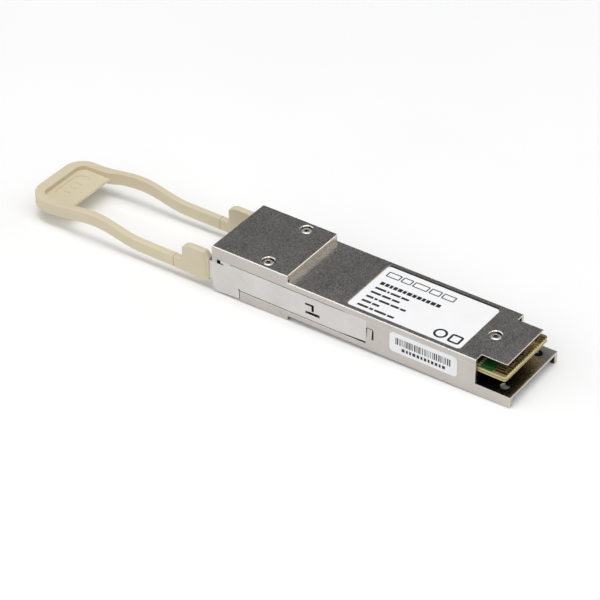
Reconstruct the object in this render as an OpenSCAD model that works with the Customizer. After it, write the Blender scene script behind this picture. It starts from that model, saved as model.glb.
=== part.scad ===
// Pluggable optical transceiver module with a pull-tab release.
//
// X runs from the optical port (-X) to the contact edge (+X), Y across the module, Z up.
// The origin is on the centreline of the underside, in the plane of the nose shoulder
// that stops against the front of the cage.

/* [Body] */
// Width of the module across its sides
body_w = 18.35; // [18.2:0.05:18.6]
// Height of the part that slides into the cage
body_h = 8.5; // [8.4:0.05:8.7]
// Length of the part that slides into the cage
body_l = 53.5; // [53:0.1:55]
// Length of the nose, which stays outside the cage
nose_l = 19.25; // [19:0.05:20]
// Height of the nose above the underside of the body
nose_top = 10.1; // [10:0.05:10.8]
// Depth of the nose below the underside of the body
nose_drop = 1.1; // [1:0.05:1.4]
// Height of the joint between the two shells
parting_z = 7.15; // [7.1:0.01:7.2]
// Thickness of the upper shell's rear roof
roof_t = 0.35; // [0.3:0.05:0.8]

/* [Release bracket] */
// Sheet thickness of the bracket
arm_t = 0.5; // [0.4:0.02:0.5]
// Distance that the bracket slides when it is pulled
travel = 2; // [1:0.1:2]
// Inward set at the end of each arm
arm_set = 0.35; // [0.1:0.05:0.4]
// Outside diameter of the return springs
spring_d = 1.5; // [1.2:0.05:1.55]
// Wire diameter of the return springs
spring_wire = 0.22; // [0.15:0.01:0.25]

/* [Pull tab] */
// Length of the pull tab in front of the nose
tab_l = 50.8; // [49:0.1:56]
// Thickness of the arms, across the module
tab_arm_t = 1.55; // [1.4:0.05:1.7]
// Height of the arms next to the module
tab_arm_h = 2.8; // [2.4:0.1:3]
// Height of the handle's rim
tab_rim_h = 3; // [2.4:0.1:3.2]
// Rise of the arms at the top of their wave
tab_wave = 1.86; // [0.5:0.02:2.5]

/* [Circuit board] */
// Thickness of the board
board_t = 1.15; // [0.9:0.05:1.2]
// Width of the board at the contact edge
board_w = 16.4; // [16.2:0.05:16.45]
// Pitch of the contact fingers
finger_pitch = 0.8; // [0.76:0.01:0.82]

/* [Labels] */
// Thickness of the labels
label_t = 0.08; // [0.05:0.01:0.15]

/* [Hidden] */

$fn = 48;
cut = 0.5;                       // how far a cutting shape runs past the surface it cuts
hw = body_w / 2;
nose_x = -nose_l;                // front face of the nose
die_cast = [0.62, 0.60, 0.56];
sheet_metal = [0.76, 0.75, 0.72];
tab_colour = [0.83, 0.79, 0.68];
gold = [0.85, 0.68, 0.30];
black_plastic = [0.10, 0.10, 0.11];

// Side walls
arm_gap = 0.1;                   // free space behind a bracket arm
arm_floor_y = hw - arm_t - arm_gap;
tub_front_hw = 6.4;              // half-width inside the shells, beside the arms
tub_rear_hw = 8.3;               // half-width inside the shells, behind the latch pockets
tub_x0 = 1.25;
tub_step_x = 23.75;
wall_end_x = body_l - 8.15;      // where the full-height side walls end
floor_t = 1;
ceiling_z = 7.4;

// Rear tongues of the two shells
roof_end_x = body_l - 2.25;
roof_hw = 6.98;
tongue_z = 2.63;
tongue_t = 0.62;
tongue_hole_r = 1;
tongue_hole_x = body_l - 2.85;
tongue_hole_y = 6.4;

// Receptacle bay in the nose, with depths measured from the nose's front face
port_z = 4.5;
front_wall = 1;
bay_x0 = nose_x + front_wall;
bay_x1 = nose_x + 10.9;
bay_hw = 6.85;
bay_z0 = 0.1;
bay_z1 = 8.95;
window_hw = 6.5;
window_h = 8.2;
passage_hw = 4.6;
passage_z0 = 2.6;
passage_z1 = 8.6;

// Bracket arms
arm_z0 = 1.45;
arm_z1 = parting_z - 0.16;
arm_x1 = 19.25;
arm_front_z1 = 6.1;              // top of the arm below the upper shell's corner tab
corner_tab_l = 1.3;
corner_tab_z0 = arm_front_z1 + 0.05;
corner_tab_t = 0.16;
coin_depth = corner_tab_t + 0.04;
notch_end = 2.05;
neck_z0 = 1.2;                   // the plates that the pull tab is moulded around
neck_z1 = 5.95;
bridge_x1 = nose_x + 6.85;
bridge_x0 = nose_x + 0.9;
sheet_z0 = -nose_drop;
set_x = 12.75;                   // where the arms begin to lean inwards

// Lanced lug and the spring channel behind each arm
spring_y = 7.7;
spring_z = 4.5;
spring_x0 = -2.3;
lug_x = 5.45;
lug_t = 0.5;
lug_z0 = 3.5;
lug_z1 = 4.85;
lug_y0 = 7;
channel_y0 = 6.85;
channel_x1 = 8.75;
spring_turns = 9;

// Latch pockets
pocket_x0 = 19.15;
pocket_x1 = 21.25;
pocket_z0 = 2.9;
pocket_z1 = 5.5;
pocket_depth = 1.3;

// Screws
screw_head_r = 1.15;
screw_head_h = 0.6;
screw_sink = 0.25;               // depth of the head's top below the surface
counterbore_r = 1.4;
screw_r = 0.7;
screw_hole_r = 0.72;
nose_screw_x = nose_x + 12.9;
nose_screw_y = 6.9;
nose_screw_tip = 3.6;
rear_screw_x = 44.3;
rear_screw_tip = 1.6;
boss_r = 1.6;

// Labels
label_x0 = 13.75;
label_x1 = 40.65;
label_hw = 7.85;
label_pocket_depth = 0.3;
label_margin = 0.2;
label_r = 0.9;
side_label_x0 = 25.15;
side_label_x1 = 41.15;
side_label_z0 = 2.35;

// Board and what stands on it
board_top = 6.3;
board_bottom = board_top - board_t;
board_x0 = 2.75;
board_x1 = body_l - 1.7;
board_front_hw = 6.2;
board_step_x = 24.25;
board_corner_r = 0.8;
bevel_l = 0.25;                  // bevel of the contact edge, along the board
bevel_h = 0.2;
board_hole_r = 0.95;
fingers = 19;
finger_w = 0.54;
finger_l = 3;
finger_split = [2.05, 2.35];     // gap that divides a signal finger in two
finger_t = 0.04;
lens_x0 = 5.35;
lens_x1 = 10.35;
lens_hw = 3.1;
lens_top = 7.2;
submount_t = 0.2;

// Ferrule train, along the port's axis
ferrule_x0 = nose_x + 5.4;
flange_x0 = nose_x + 11;
flange_x1 = nose_x + 13;
keeper_t = 0.5;
boot_l = 2.9;
pin_r = 0.35;
pin_pitch = 4.6;
ribbon_w = 3.1;
ribbon_t = 0.3;
ribbon_end_z = 6.85;
bend_x0 = -2.2;
bend_x1 = 4.4;

// A box given by its limits along each axis
module block(x, y, z) {
    translate([x[0], y[0], z[0]])
        cube([x[1] - x[0], y[1] - y[0], z[1] - z[0]]);
}

// A box centred on the module's middle plane
module bar(x, half_width, z) {
    block(x, [-half_width, half_width], z);
}

module both_sides() {
    children();
    mirror([0, 1, 0]) children();
}

// An outline in X and Z, given the thickness between two Y values
module side_profile(y0, y1) {
    translate([0, y1, 0]) rotate([90, 0, 0]) linear_extrude(y1 - y0) children();
}

// An outline in Y and Z, given the length between two X values
module end_profile(x0, x1) {
    translate([x0, 0, 0]) rotate([90, 0, 90]) linear_extrude(x1 - x0) children();
}

module rounded_rect(x, y, r) {
    translate([x[0] + r, y[0]]) square([x[1] - x[0] - 2 * r, y[1] - y[0]]);
    translate([x[0], y[0] + r]) square([x[1] - x[0], y[1] - y[0] - 2 * r]);
    for (cx = [x[0] + r, x[1] - r], cy = [y[0] + r, y[1] - r]) translate([cx, cy]) circle(r);
}

// ---------------------------------------------------------------- shells

module screw_places() {
    for (s = [-1, 1]) translate([nose_screw_x, s * nose_screw_y, 0]) children();
}

// Space behind each arm of the bracket, open to the side
module arm_recess() {
    block([nose_x - cut, arm_x1 + 0.1], [arm_floor_y, hw + 1], [arm_z0 - 0.15, parting_z + cut]);
    block([nose_x - cut, bridge_x1 + 0.12], [arm_floor_y, hw + 1], [sheet_z0 - cut, arm_z0]);
    // Deeper where the arm leans inwards, with room for its travel
    translate([0, 0, arm_z0 - 0.15]) linear_extrude(parting_z) polygon([
        [set_x - travel - 0.5, hw + 1], [set_x - travel - 0.5, arm_floor_y],
        [arm_x1 - travel, arm_floor_y - arm_set], [arm_x1 + 0.1, arm_floor_y - arm_set],
        [arm_x1 + 0.1, hw + 1]
    ]);
}

// The spring's channel; its rear part is taller, and the step stops the bracket's lug
module spring_channel() {
    step_x = lug_x - travel - 0.05;
    snug = spring_d / 2 + 0.08;
    block([spring_x0, step_x], [channel_y0, hw], [spring_z - snug, spring_z + snug]);
    block([step_x, channel_x1], [channel_y0, hw], [lug_z0 - 0.1, spring_z + snug]);
}

// Pocket for the cage's latch, with a thin land that stands in it and slopes back from its foot
module latch_pocket() {
    r = 0.5;
    land_t = 0.3;
    land_z1 = pocket_z1 - 0.45;
    difference() {
        side_profile(hw - pocket_depth, hw + 1) {
            translate([pocket_x0, pocket_z0])
                square([pocket_x1 - pocket_x0 - r, pocket_z1 - pocket_z0]);
            translate([pocket_x0, pocket_z0])
                square([pocket_x1 - pocket_x0, pocket_z1 - pocket_z0 - r]);
            translate([pocket_x1 - r, pocket_z1 - r]) circle(r);
        }
        end_profile(pocket_x0 + 0.4, pocket_x1 - 0.5) polygon([
            [hw - land_t, pocket_z0 - cut], [hw, pocket_z0 - cut], [hw, pocket_z0],
            [hw - 0.25, land_z1], [hw - 0.25 - land_t, land_z1], [hw - land_t, pocket_z0]
        ]);
    }
}

// Room for the receptacle, and the passage behind it for the ferrule and ribbon
module nose_cavity() {
    bar([bay_x0, bay_x1], bay_hw, [bay_z0, bay_z1]);
    bar([nose_x - cut, bay_x0 + 0.1], window_hw, [port_z - window_h / 2, port_z + window_h / 2]);
    bar([bay_x1 - 0.1, -0.9], passage_hw, [passage_z0, passage_z1]);
    bar([-1, tub_x0 + 0.1], passage_hw, [passage_z0, ceiling_z]);
}

module bottom_housing() {
    rear_floor_x = wall_end_x - 2.6;
    color(die_cast) difference() {
        union() {
            bar([nose_x + 0.3, 0], hw, [-nose_drop, parting_z]);
            bar([-cut, wall_end_x], hw, [0, parting_z]);
            bar([wall_end_x - cut, body_l], hw, [0, tongue_z]);
        }
        nose_cavity();
        difference() {
            union() {
                bar([tub_x0, tub_step_x], tub_front_hw, [floor_t, parting_z + cut]);
                bar([tub_step_x - 0.1, rear_floor_x], tub_rear_hw, [floor_t, parting_z + cut]);
                bar([rear_floor_x - 0.1, wall_end_x + cut], tub_rear_hw, [tongue_z, parting_z + cut]);
            }
            // Screw boss and two ledges that the board lies on
            translate([rear_screw_x, 0, 0]) cylinder(h = board_bottom, r = boss_r);
            both_sides() block([12.5, 15.5], [5.2, tub_front_hw + 1], [0, board_bottom]);
            both_sides() block([25, 28], [7.2, tub_rear_hw + 1], [0, board_bottom]);
        }
        both_sides() {
            arm_recess();
            spring_channel();
            latch_pocket();
            // Deeper spot behind the notch at the front of the arm
            block([nose_x + corner_tab_l, nose_x + notch_end], [arm_floor_y - 0.7, hw],
                  [arm_front_z1, parting_z + cut]);
            // Groove for the conductive cord
            block([26, 43], [8.6, 9.0], [parting_z - 0.35, parting_z + cut]);
        }
        // Seat of the bracket's bridge under the nose
        bar([nose_x - cut, bridge_x1 + 0.1], hw + 1, [-nose_drop - cut, sheet_z0 + arm_t + 0.05]);
        // Hollow under the rear tongue
        bar([wall_end_x + 1, body_l + cut], hw - 1, [-cut, tongue_z - tongue_t]);
        both_sides() translate([tongue_hole_x, tongue_hole_y, 0])
            cylinder(h = tongue_z + cut, r = tongue_hole_r);
        screw_places() translate([0, 0, nose_screw_tip - 0.3]) cylinder(h = 6, r = screw_hole_r);
        translate([rear_screw_x, 0, rear_screw_tip - 0.3]) cylinder(h = 6, r = screw_hole_r);
    }
}

module counterbore(top, bottom) {
    translate([0, 0, top - screw_sink - screw_head_h]) cylinder(h = 2, r = counterbore_r);
    translate([0, 0, bottom - cut]) cylinder(h = top - bottom, r = screw_hole_r + 0.1);
}

module top_housing() {
    ledge_l = 0.2;
    ledge_h = 0.5;
    color(die_cast) difference() {
        union() {
            bar([nose_x, 0], hw, [parting_z, nose_top]);
            bar([-cut, wall_end_x], hw, [parting_z, body_h]);
            bar([wall_end_x - cut, roof_end_x], roof_hw, [body_h - roof_t, body_h]);
            bar([-cut, ledge_l], hw - 0.15, [body_h - cut, body_h + ledge_h]);
            // Thin tabs at the nose's front corners that keep the arms against the body
            both_sides() end_profile(nose_x, nose_x + corner_tab_l) polygon([
                [hw, parting_z + cut], [hw - corner_tab_t, parting_z + cut],
                [hw - corner_tab_t, corner_tab_z0 + corner_tab_t], [hw, corner_tab_z0]
            ]);
        }
        nose_cavity();
        difference() {
            union() {
                bar([tub_x0, tub_step_x], tub_front_hw, [parting_z - cut, ceiling_z]);
                bar([tub_step_x - 0.1, wall_end_x - 1], tub_rear_hw, [parting_z - cut, ceiling_z]);
                bar([wall_end_x - 1.1, wall_end_x + cut], tub_rear_hw,
                    [parting_z - cut, body_h - roof_t]);
            }
            translate([rear_screw_x, 0, 0]) cylinder(h = body_h, r = boss_r);
        }
        translate([0, 0, body_h - label_pocket_depth]) linear_extrude(1)
            rounded_rect([label_x0 - label_margin, label_x1 + label_margin],
                         [-label_hw - label_margin, label_hw + label_margin], label_r);
        screw_places() counterbore(nose_top, parting_z);
        translate([rear_screw_x, 0, 0]) counterbore(body_h, board_top);
    }
    // Boss that clamps the board
    color(die_cast) difference() {
        translate([rear_screw_x, 0, board_top]) cylinder(h = ceiling_z - board_top, r = boss_r);
        translate([rear_screw_x, 0, board_top - cut]) cylinder(h = 3, r = screw_hole_r + 0.1);
    }
}

module shell_gaskets() {
    color([0.25, 0.25, 0.27]) both_sides()
        block([26.1, 42.9], [8.65, 8.95], [parting_z - 0.3, parting_z]);
}

// ---------------------------------------------------------------- screws

module screw(head_top, tip) {
    lobe_r = 0.13;
    difference() {
        union() {
            translate([0, 0, head_top - screw_head_h]) cylinder(h = screw_head_h, r = screw_head_r);
            translate([0, 0, tip]) cylinder(h = head_top - screw_head_h / 2 - tip, r = screw_r);
        }
        translate([0, 0, head_top - 0.4]) {
            cylinder(h = 1, r = 0.4);
            for (a = [0:60:300]) rotate(a) translate([0.4, 0, 0]) cylinder(h = 1, r = lobe_r);
        }
    }
}

module nose_screws() {
    color("silver") screw_places() screw(nose_top - screw_sink, nose_screw_tip);
}

module rear_screw() {
    color("silver") translate([rear_screw_x, 0, 0]) screw(body_h - screw_sink, rear_screw_tip);
}

// ---------------------------------------------------------------- release bracket

// Outline of one arm seen from the side, with the notch at its upper front corner
module arm_outline() {
    corner_r = 1.2;
    difference() {
        union() {
            translate([nose_x + corner_r, sheet_z0 + corner_r]) circle(corner_r);
            translate([nose_x, sheet_z0 + corner_r])
                square([bridge_x1 - nose_x, arm_z1 - sheet_z0 - corner_r]);
            translate([nose_x + corner_r, sheet_z0])
                square([bridge_x1 - nose_x - corner_r, arm_z1 - sheet_z0]);
            translate([bridge_x1 - cut, arm_z0]) square([arm_x1 - bridge_x1 + cut, arm_z1 - arm_z0]);
        }
        translate([nose_x - cut, arm_front_z1]) square([notch_end + cut, 3]);
        translate([nose_x + corner_tab_l, arm_front_z1]) square([1.4, 0.2]);
        // Relief in the inner corner above the bridge
        translate([bridge_x1 - 0.2, arm_z0 - 0.02]) square([0.4, 0.3]);
    }
}

// Plan of one arm: straight, then leaning inwards towards its end
module arm_plan() {
    polygon([
        [nose_x, hw - arm_t], [set_x, hw - arm_t], [arm_x1, hw - arm_t - arm_set],
        [arm_x1, hw - arm_set], [set_x, hw], [nose_x, hw]
    ]);
}

module bracket_arm() {
    difference() {
        intersection() {
            translate([0, 0, sheet_z0 - 1]) linear_extrude(12) arm_plan();
            side_profile(hw - 1, hw + 1) arm_outline();
        }
        // Coined step with a sloping foot, which passes behind the upper shell's corner tab
        end_profile(nose_x, nose_x + notch_end + travel + 0.6) polygon([
            [hw + cut, arm_front_z1 - cut], [hw + cut, parting_z + cut],
            [hw - coin_depth, parting_z + cut], [hw - coin_depth, arm_front_z1 + coin_depth]
        ]);
        // Lanced slots round the lug
        block([4.45, 6.55], [hw - 1, hw + 1], [lug_z1 + 0.03, lug_z1 + 0.55]);
        block([lug_x + lug_t + 0.05, 6.55], [hw - 1, hw + 1], [3.72, lug_z1 + 0.2]);
        block([4.5, 8.05], [hw - 1, hw + 1], [2.78, 3.42]);
    }
    // Lug that presses on the spring
    block([lug_x, lug_x + lug_t], [lug_y0, hw - arm_t / 2], [lug_z0, lug_z1]);
    // Neck that the pull tab is moulded around
    neck_y = hw - arm_t;
    block([nose_x - 6, nose_x + 0.25], [neck_y - 0.25, neck_y + 0.15], [neck_z0, neck_z1]);
}

module pull_slider() {
    color(sheet_metal) {
        both_sides() bracket_arm();
        bar([bridge_x0, bridge_x1], hw - arm_t / 2, [sheet_z0, sheet_z0 + arm_t]);
    }
}

// Round wire coil along X: a tube swept along a helix
module coil(x0, length, coil_r, wire_r, turns) {
    sides = 6;
    per_turn = 12;
    rings = turns * per_turn;
    ring = function (i) [
        x0 + wire_r + (length - 2 * wire_r) * i / rings,
        360 * i / per_turn
    ];
    points = [
        for (i = [0:rings], k = [0:sides - 1])
            let (p = ring(i), a = 360 * k / sides, r = coil_r + wire_r * cos(a))
                [p[0] + wire_r * sin(a), r * cos(p[1]), r * sin(p[1])]
    ];
    walls = [
        for (i = [0:rings - 1], k = [0:sides - 1])
            let (a = i * sides + k, b = i * sides + (k + 1) % sides)
                [a, b, b + sides, a + sides]
    ];
    start = [for (k = [sides - 1:-1:0]) k];
    end = [for (k = [0:sides - 1]) rings * sides + k];
    polyhedron(points, concat(walls, [start, end]));
}

module return_springs() {
    clearance = 0.03;
    color("gainsboro") both_sides() translate([0, spring_y, spring_z])
        coil(spring_x0 + clearance, lug_x - spring_x0 - 2 * clearance,
             (spring_d - spring_wire) / 2, spring_wire / 2, spring_turns);
}

// ---------------------------------------------------------------- pull tab

tab_outer_hw = hw - 0.1;
tab_x0 = nose_x - tab_l;
tab_arm_z = 1.8;                 // middle height of the arms next to the ears
tab_rim_z = 2.15;                // middle height of the handle
wave_start = nose_x - 19.5;
wave_peak = nose_x - 31.8;
wave_end = nose_x - 45;
rim_w = 2.65;
rim_side_w = 2.1;
ear_x0 = nose_x - 8.1;
ear_x1 = nose_x - 0.95;
web_end = nose_x - 41.05;
web_z0 = 1.5;
web_z1 = 2.6;
pad_depth = 0.15;

function ease(t) = (1 - cos(180 * min(1, max(0, t)))) / 2;

// Middle height of the tab at x: level, up over the wave, down to the handle
function tab_mid(x) = x > wave_peak
    ? tab_arm_z + tab_wave * ease((wave_start - x) / (wave_start - wave_peak))
    : tab_rim_z + (tab_arm_z + tab_wave - tab_rim_z) * (1 - ease((wave_peak - x) / (wave_peak - wave_end)));

function tab_height(x) =
    tab_arm_h + (tab_rim_h - tab_arm_h) * ease((wave_start - x) / (wave_start - wave_end));

// Side view of the wavy arms and the handle
module tab_band() {
    steps = 56;
    x_at = function (i) ear_x0 + 1 + (tab_x0 - cut - ear_x0 - 1) * i / steps;
    upper = [for (i = [0:steps]) [x_at(i), tab_mid(x_at(i)) + tab_height(x_at(i)) / 2]];
    lower = [for (i = [steps:-1:0]) [x_at(i), tab_mid(x_at(i)) - tab_height(x_at(i)) / 2]];
    polygon(concat(upper, lower));
}

// Plan view of the arms and the handle's rim
module tab_loop() {
    difference() {
        rounded_rect([tab_x0, ear_x0 + 6], [-tab_outer_hw, tab_outer_hw], 4.8);
        inner_hw = tab_outer_hw - tab_arm_t;
        handle_hw = tab_outer_hw - rim_side_w;
        polygon([
            [web_end + 0.5, -handle_hw], [web_end + 4, -inner_hw], [nose_x, -inner_hw],
            [nose_x, inner_hw], [web_end + 4, inner_hw], [web_end + 0.5, handle_hw]
        ]);
        rounded_rect([tab_x0 + rim_w, ear_x0], [-handle_hw, handle_hw], 2);
        translate([ear_x0 + 1, -20]) square([20, 40]);
    }
}

module ear_outline() {
    polygon([
        [ear_x0, 0.4], [ear_x0 + 5.6, 0.05], [ear_x1 - 0.9, 0], [ear_x1, 0.9], [ear_x1, 6.25],
        [ear_x1 - 1.15, 7.5], [ear_x0 + 1.9, 7.5], [ear_x0 + 0.6, 7.05], [ear_x0, 6.4]
    ]);
}

module pull_tab() {
    neck_y = hw - arm_t;
    neck_gap = 0.02;
    color(tab_colour) difference() {
        union() {
            intersection() {
                translate([0, 0, -2]) linear_extrude(12) tab_loop();
                side_profile(-hw, hw) tab_band();
            }
            both_sides() side_profile(tab_outer_hw - tab_arm_t, tab_outer_hw) ear_outline();
            // Recessed web of the handle, with a round free edge
            bar([tab_x0 + rim_w - 0.4, web_end], tab_outer_hw - tab_arm_t + 0.3, [web_z0, web_z1]);
            translate([web_end, 0, (web_z0 + web_z1) / 2]) rotate([90, 0, 0])
                cylinder(h = 2 * (tab_outer_hw - tab_arm_t + 0.3), d = web_z1 - web_z0, center = true);
        }
        // Shallow oval with three grip bars left standing in it
        translate([0, 0, web_z1 - pad_depth]) linear_extrude(2) difference() {
            rounded_rect([tab_x0 + 3.65, tab_x0 + 7.95], [-4.85, 4.85], 2.14);
            for (y = [-2, 0, 2])
                rounded_rect([tab_x0 + 4.9, tab_x0 + 6.7], [y - 0.35, y + 0.35], 0.34);
        }
        // Slots that hold the bracket's necks
        both_sides() block([nose_x - 6 - neck_gap, nose_x],
                           [neck_y - 0.25 - neck_gap, neck_y + 0.15 + neck_gap],
                           [neck_z0 - neck_gap, neck_z1 + neck_gap]);
    }
}

// ---------------------------------------------------------------- board

module board_outline() {
    r = board_corner_r;
    bhw = board_w / 2;
    translate([board_x0, -board_front_hw])
        square([board_x1 - board_x0 - 2 * r, 2 * board_front_hw]);
    translate([board_step_x, -bhw]) square([board_x1 - board_step_x - r, board_w]);
    translate([board_x1 - 4, -bhw + r]) square([4, board_w - 2 * r]);
    for (s = [-1, 1]) translate([board_x1 - r, s * (bhw - r)]) circle(r);
}

module circuit_board() {
    color([0.10, 0.32, 0.16]) intersection() {
        translate([0, 0, board_bottom]) linear_extrude(board_t) difference() {
            board_outline();
            translate([rear_screw_x, 0]) circle(board_hole_r);
        }
        side_profile(-board_w, board_w) polygon([
            [0, board_bottom], [board_x1 - bevel_l, board_bottom],
            [board_x1, board_bottom + bevel_h], [board_x1, board_top - bevel_h],
            [board_x1 - bevel_l, board_top], [0, board_top]
        ]);
    }
}

// Every third finger is whole; the signal fingers between them are divided in two
module contact_pads(z) {
    x0 = board_x1 - bevel_l - finger_l;
    whole = [[0, finger_l]];
    divided = [[0, finger_split[0]], [finger_split[1], finger_l]];
    color(gold) for (i = [0:fingers - 1])
        for (x = i % 3 == 0 ? whole : divided)
            translate([0, (i - (fingers - 1) / 2) * finger_pitch, 0])
                bar(x + [x0, x0], finger_w / 2, [z, z + finger_t]);
}

module contact_pads_top() {
    contact_pads(board_top);
}

module contact_pads_bottom() {
    contact_pads(board_bottom - finger_t);
}

// ---------------------------------------------------------------- optical train

// Port housing: mouth, key slot, ferrule window and two latch hooks
module optical_receptacle() {
    x0 = bay_x0 + 0.05;
    x1 = bay_x1 - 0.75;
    back = x1 - 1.25;
    color(black_plastic) {
        difference() {
            bar([x0, x1], bay_hw - 0.05, [bay_z0 + 0.05, bay_z1 - 0.05]);
            bar([x0 - cut, back], 6.25, [port_z - 3.9, port_z + 3.9]);
            bar([x0 - cut, back - 2], 1.5, [port_z, port_z + 4.2]);
            bar([back - cut, x1 + cut], 3.3, [port_z - 1.35, port_z + 1.35]);
        }
        both_sides() {
            block([back - 5.4, back + 0.2], [5, 5.6], [port_z - 1.5, port_z + 1.5]);
            block([back - 5.4, back - 4.6], [4.6, 5.3], [port_z - 1.5, port_z + 1.5]);
        }
    }
}

module receptacle_gasket() {
    color([0.35, 0.35, 0.37]) difference() {
        bar([bay_x1 - 0.7, bay_x1], bay_hw - 0.05, [bay_z0 + 0.05, bay_z1 - 0.05]);
        bar([bay_x1 - 1, bay_x1 + 1], 4.7, [2.5, 7]);
    }
}

module ferrule_holder() {
    color([0.16, 0.16, 0.18]) difference() {
        bar([flange_x0 - 0.8, flange_x1 + 0.1], passage_hw - 0.05, [passage_z0 + 0.05, 6.9]);
        bar([flange_x0 - 1, flange_x0 + cut], 3.25, [port_z - 1.3, port_z + 1.3]);
        bar([flange_x0, flange_x1 + 1], 3.65, [port_z - 1.75, port_z + 1.75]);
    }
}

module pin_places() {
    for (s = [-1, 1]) translate([0, s * pin_pitch / 2, port_z]) rotate([0, 90, 0]) children();
}

module fibre_ferrule() {
    pin_gap = 0.01;
    color([0.15, 0.14, 0.13]) difference() {
        union() {
            bar([ferrule_x0, flange_x1], 3.2, [port_z - 1.25, port_z + 1.25]);
            bar([flange_x0, flange_x1], 3.6, [port_z - 1.7, port_z + 1.7]);
        }
        translate([ferrule_x0 - 1, 0, 0]) pin_places() cylinder(h = 12, r = pin_r + pin_gap);
        // Ribbon entry
        bar([flange_x1 - 1.5, flange_x1 + 1], ribbon_w / 2 + 0.05,
            [port_z - ribbon_t / 2 - 0.05, port_z + ribbon_t / 2 + 0.05]);
    }
}

module alignment_pins() {
    color("lightgray") translate([ferrule_x0 - 1.9, 0, 0]) pin_places()
        cylinder(h = flange_x1 - ferrule_x0 + 1.9, r = pin_r);
}

module pin_keeper() {
    color("silver") difference() {
        bar([flange_x1, flange_x1 + keeper_t], 3.5, [port_z - 1.3, port_z + 1.3]);
        bar([flange_x1 - 1, flange_x1 + 1], ribbon_w / 2 + 0.05,
            [port_z - ribbon_t / 2 - 0.05, port_z + ribbon_t / 2 + 0.05]);
    }
}

module ferrule_boot() {
    color([0.12, 0.12, 0.12]) difference() {
        bar([flange_x1 + keeper_t, flange_x1 + keeper_t + boot_l], 2.3,
            [port_z - 0.6, port_z + 0.6]);
        bar([flange_x1, 0], ribbon_w / 2 + 0.02,
            [port_z - ribbon_t / 2 - 0.02, port_z + ribbon_t / 2 + 0.02]);
    }
}

// Height of the ribbon's middle at x, from the ferrule up to the lens block
function ribbon_mid(x) =
    port_z + (ribbon_end_z - port_z) * ease((x - bend_x0) / (bend_x1 - bend_x0));

module fibre_ribbon() {
    steps = 24;
    x0 = flange_x1 - 1.4;
    x_at = function (i) bend_x0 + (bend_x1 - bend_x0) * i / steps;
    line = concat([[x0, port_z]], [for (i = [0:steps]) [x_at(i), ribbon_mid(x_at(i))]],
                  [[lens_x0, ribbon_end_z]]);
    upper = [for (p = line) [p[0], p[1] + ribbon_t / 2]];
    lower = [for (i = [len(line) - 1:-1:0]) [line[i][0], line[i][1] - ribbon_t / 2]];
    color([0.20, 0.62, 0.62]) side_profile(-ribbon_w / 2, ribbon_w / 2) polygon(concat(upper, lower));
}

// Lens block with a hollow over the two arrays
module lens_block() {
    z0 = board_top + submount_t;
    color([0.80, 0.60, 0.25]) difference() {
        bar([lens_x0, lens_x1], lens_hw, [z0, lens_top]);
        bar([lens_x0 + 1.2, lens_x1 - 1], lens_hw - 0.5, [z0 - cut, z0 + 0.5]);
    }
}

module optics_submount() {
    color([0.78, 0.50, 0.32])
        bar([lens_x0 - 0.2, lens_x1 + 0.3], lens_hw + 0.2, [board_top, board_top + submount_t]);
}

module array_chip(y) {
    z0 = board_top + submount_t;
    block([lens_x1 - 2.2, lens_x1 - 1.9 + 0.2], [y - 0.55, y + 0.55], [z0, z0 + 0.15]);
}

module laser_array() {
    color([0.35, 0.33, 0.38]) array_chip(-1.4);
}

module photodiode_array() {
    color([0.28, 0.30, 0.36]) array_chip(1.4);
}

module driver_die(y) {
    block([10.95, 13.35], [y - 1.2, y + 1.2], [board_top, board_top + 0.4]);
}

module laser_driver() {
    color([0.20, 0.20, 0.22]) driver_die(-1.9);
}

module receiver_amplifier() {
    color([0.22, 0.22, 0.24]) driver_die(1.9);
}

module thermal_pad() {
    color([0.55, 0.62, 0.70]) bar([11, 13.3], 3.2, [board_top + 0.4, ceiling_z]);
}

// ---------------------------------------------------------------- board components

module controller_chip() {
    color([0.13, 0.13, 0.14])
        bar([29.5, 34.5], 2.5, [board_bottom - 0.85, board_bottom]);
}

module power_inductors() {
    color([0.30, 0.29, 0.28]) for (x = [18, 21, 24])
        block([x, x + 2], [-4.6, -3], [board_top, board_top + 1]);
}

module filter_capacitors() {
    color([0.60, 0.47, 0.34]) for (x = [17.6, 20.6, 23.6], y = [-2.2, -1])
        block([x, x + 1.6], [y, y + 0.8], [board_top, board_top + 0.8]);
}

module coupling_capacitors() {
    color([0.58, 0.46, 0.36]) for (i = [0:7], s = [-1, 1])
        let (y = s * (2.6 + 0.74 * i))
            block([45, 45.6], [y - 0.16, y + 0.16], [board_top, board_top + 0.32]);
}

module resistors() {
    color([0.12, 0.12, 0.13]) for (i = [0:5])
        block([28 + 1.6 * i, 29 + 1.6 * i], [3.4, 3.9], [board_top, board_top + 0.35]);
}

// ---------------------------------------------------------------- labels

module top_label() {
    color("white") translate([0, 0, body_h - label_pocket_depth]) linear_extrude(label_t)
        rounded_rect([label_x0, label_x1], [-label_hw, label_hw], label_r - label_margin / 2);
}

module side_label() {
    color("white") side_profile(-hw - label_t, -hw)
        rounded_rect([side_label_x0, side_label_x1], [side_label_z0, parting_z - 0.1], label_r);
}

bottom_housing();
top_housing();
pull_slider();
pull_tab();
return_springs();
nose_screws();
rear_screw();
circuit_board();
contact_pads_top();
contact_pads_bottom();
optical_receptacle();
receptacle_gasket();
shell_gaskets();
ferrule_holder();
fibre_ferrule();
alignment_pins();
pin_keeper();
ferrule_boot();
fibre_ribbon();
lens_block();
optics_submount();
laser_array();
photodiode_array();
laser_driver();
receiver_amplifier();
thermal_pad();
controller_chip();
power_inductors();
filter_capacitors();
coupling_capacitors();
resistors();
top_label();
side_label();
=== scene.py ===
import math
import random

import bmesh
import bpy
from mathutils import Matrix, Vector


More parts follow.
